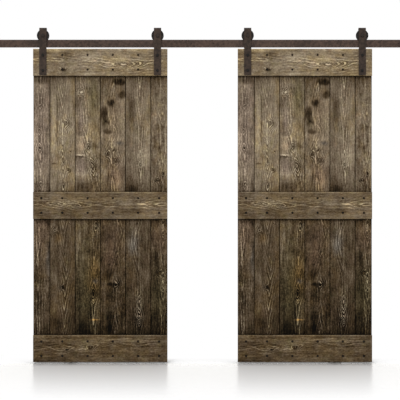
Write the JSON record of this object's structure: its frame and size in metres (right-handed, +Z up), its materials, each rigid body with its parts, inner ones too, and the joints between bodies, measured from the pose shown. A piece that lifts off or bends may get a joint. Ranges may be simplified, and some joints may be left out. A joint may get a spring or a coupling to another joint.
{
  "type": "pair of sliding barn doors",
  "caption": "Boarded sliding barn doors with face-screwed rails, hung by bent strap hangers and grooved wheels from a flat steel track with stops and floor guides.",
  "frame": {"origin": "on the wall face, half way along the track, on the line of the track's fixings", "axes": "+X along the track to the viewer's right, +Y back into the wall, +Z up"},
  "size_m": [3.658, 0.125, 2.2853],
  "materials": {
    "boards": "weathered stain, matt",
    "rails": "weathered stain, matt",
    "track": "dark bronze, satin",
    "hangers": "dark bronze, satin",
    "bolts": "dark bronze, satin",
    "screws": "black, matt",
    "wheels": "near-black nylon",
    "bearings": "ground steel",
    "bumper": "black rubber"
  },
  "bodies": {
    "track": {"track_bar_left": "track", "track_bar_right": "track", "track_joiner": "track", "joiner_bolts": "track", "track_spacers": "track", "lag_screws": "track", "left_end_stop": "track", "right_end_stop": "track", "stop_bumpers": "bumper", "stop_set_screws": "track", "left_floor_guide": "track", "right_floor_guide": "track"},
    "left_door": {"left_board_1": "boards", "left_board_2": "boards", "left_board_3": "boards", "left_board_4": "boards", "left_board_5": "boards", "left_board_6": "boards", "left_top_rail": "rails", "left_mid_rail": "rails", "left_bottom_rail": "rails", "left_rail_screws": "screws", "left_outer_strap": "hangers", "left_inner_strap": "hangers", "left_strap_bolts": "bolts", "left_strap_washers": "bolts", "left_strap_nuts": "bolts", "left_axle_bolts": "bolts", "left_axle_nuts": "bolts", "left_axle_bushes": "bearings"},
    "left_outer_roller": {"left_outer_wheel": "wheels", "left_outer_bearing": "bearings"},
    "left_inner_roller": {"left_inner_wheel": "wheels", "left_inner_bearing": "bearings"},
    "right_door": {"right_board_1": "boards", "right_board_2": "boards", "right_board_3": "boards", "right_board_4": "boards", "right_board_5": "boards", "right_board_6": "boards", "right_top_rail": "rails", "right_mid_rail": "rails", "right_bottom_rail": "rails", "right_rail_screws": "screws", "right_outer_strap": "hangers", "right_inner_strap": "hangers", "right_strap_bolts": "bolts", "right_strap_washers": "bolts", "right_strap_nuts": "bolts", "right_axle_bolts": "bolts", "right_axle_nuts": "bolts", "right_axle_bushes": "bearings"},
    "right_outer_roller": {"right_outer_wheel": "wheels", "right_outer_bearing": "bearings"},
    "right_inner_roller": {"right_inner_wheel": "wheels", "right_inner_bearing": "bearings"}
  },
  "joints": [
    {"name": "left_door_slide", "type": "slide", "parent": "track", "child": "left_door", "axis": [1, 0, 0], "range_m": [-0.6477, 0.238]},
    {"name": "left_outer_wheel_spin", "type": "hinge", "parent": "left_door", "child": "left_outer_roller", "pos_m": [-1.087, -0.043, 0.0548], "axis": [0, 1, 0], "continuous": true},
    {"name": "left_inner_wheel_spin", "type": "hinge", "parent": "left_door", "child": "left_inner_roller", "pos_m": [-0.307, -0.043, 0.0548], "axis": [0, 1, 0], "continuous": true},
    {"name": "right_door_slide", "type": "slide", "parent": "track", "child": "right_door", "axis": [1, 0, 0], "range_m": [-0.238, 0.6477]},
    {"name": "right_outer_wheel_spin", "type": "hinge", "parent": "right_door", "child": "right_outer_roller", "pos_m": [1.087, -0.043, 0.0548], "axis": [0, 1, 0], "continuous": true},
    {"name": "right_inner_wheel_spin", "type": "hinge", "parent": "right_door", "child": "right_inner_roller", "pos_m": [0.307, -0.043, 0.0548], "axis": [0, 1, 0], "continuous": true}
  ],
  "couplings": [
    {"joint": "left_outer_wheel_spin", "follows": "left_door_slide", "rad_per_m": 35.714},
    {"joint": "left_inner_wheel_spin", "follows": "left_door_slide", "rad_per_m": 35.714},
    {"joint": "right_outer_wheel_spin", "follows": "right_door_slide", "rad_per_m": 35.714},
    {"joint": "right_inner_wheel_spin", "follows": "right_door_slide", "rad_per_m": 35.714}
  ]
}
